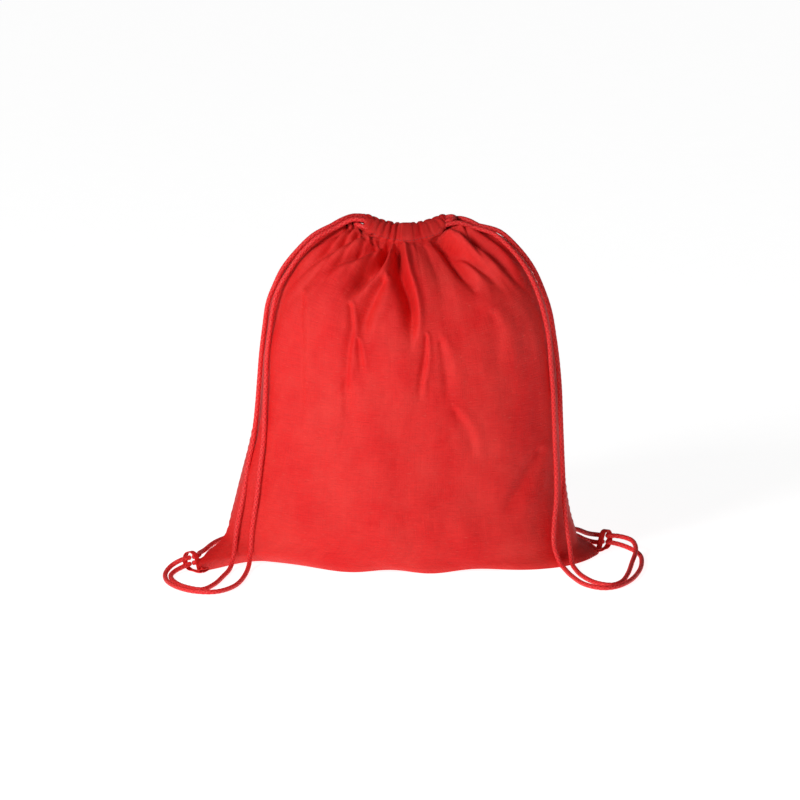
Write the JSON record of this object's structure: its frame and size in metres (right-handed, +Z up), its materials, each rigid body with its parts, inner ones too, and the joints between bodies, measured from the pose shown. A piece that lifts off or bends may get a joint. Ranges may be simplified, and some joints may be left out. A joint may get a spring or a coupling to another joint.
{
  "type": "drawstring backpack",
  "caption": "Cotton drawstring backpack standing stuffed on its base, its mouth gathered by two cords that run down the sides as straps.",
  "frame": {"origin": "middle of the base, on the seam between the front and back halves, at the height of the surface that the bag stands on", "axes": "+X towards the right-hand side as seen from the front, +Y towards the back, +Z up towards the gathered mouth"},
  "size_m": [0.432, 0.2629, 0.3149],
  "materials": {
    "bag_cloth": "matte",
    "hem_cloth": "matte",
    "loop_tape": "matte",
    "cord": "matte",
    "thread": "matte"
  },
  "bodies": {
    "root": {"front_panel": "bag_cloth", "back_panel": "bag_cloth", "front_base": "bag_cloth", "back_base": "bag_cloth", "left_side_seam": "bag_cloth", "right_side_seam": "bag_cloth", "bottom_seam": "bag_cloth", "left_slit_bartack": "thread", "right_slit_bartack": "thread", "left_corner_loop": "loop_tape", "right_corner_loop": "loop_tape", "left_loop_tack": "thread", "right_loop_tack": "thread"},
    "front_mouth": {"front_casing": "hem_cloth", "front_hem_stitches": "thread", "front_channel_cords": "cord", "left_front_lead": "cord", "right_front_lead": "cord"},
    "back_mouth": {"back_casing": "hem_cloth", "back_hem_stitches": "thread", "back_channel_cords": "cord", "left_back_lead": "cord", "right_back_lead": "cord"},
    "left_strap": {"left_front_strand": "cord", "left_back_strand": "cord"},
    "right_strap": {"right_front_strand": "cord", "right_back_strand": "cord"},
    "left_free_end": {"left_tail": "cord", "left_knot": "cord", "left_cord_ends": "cord"},
    "right_free_end": {"right_tail": "cord", "right_knot": "cord", "right_cord_ends": "cord"}
  },
  "joints": [
    {"name": "front_mouth_open", "type": "slide", "parent": "root", "child": "front_mouth", "axis": [0, -1, 0], "range_m": [0, 0.03], "deforming": ["left_front_lead", "right_front_lead"]},
    {"name": "back_mouth_open", "type": "slide", "parent": "root", "child": "back_mouth", "axis": [0, 1, 0], "range_m": [0, 0.03], "deforming": ["left_back_lead", "right_back_lead"]},
    {"name": "left_strap_swing", "type": "hinge", "parent": "root", "child": "left_strap", "pos_m": [-0.192, -0.064, 0.0092], "axis": [-0.393, -0.1781, -0.9021], "range_deg": [0, 30], "deforming": ["left_front_strand", "left_back_strand"]},
    {"name": "right_strap_swing", "type": "hinge", "parent": "root", "child": "right_strap", "pos_m": [0.181, 0.02, 0.0092], "axis": [-0.3687, -0.0819, 0.9259], "range_deg": [0, 30], "deforming": ["right_front_strand", "right_back_strand"]},
    {"name": "left_free_end_swing", "type": "hinge", "parent": "root", "child": "left_free_end", "pos_m": [-0.192, -0.064, 0.0092], "axis": [0, 0, 1], "range_deg": [0, 30]},
    {"name": "right_free_end_swing", "type": "hinge", "parent": "root", "child": "right_free_end", "pos_m": [0.181, 0.02, 0.0092], "axis": [0, 0, -1], "range_deg": [0, 30]}
  ],
  "couplings": [
    {"joint": "back_mouth_open", "follows": "front_mouth_open", "ratio": 1}
  ]
}
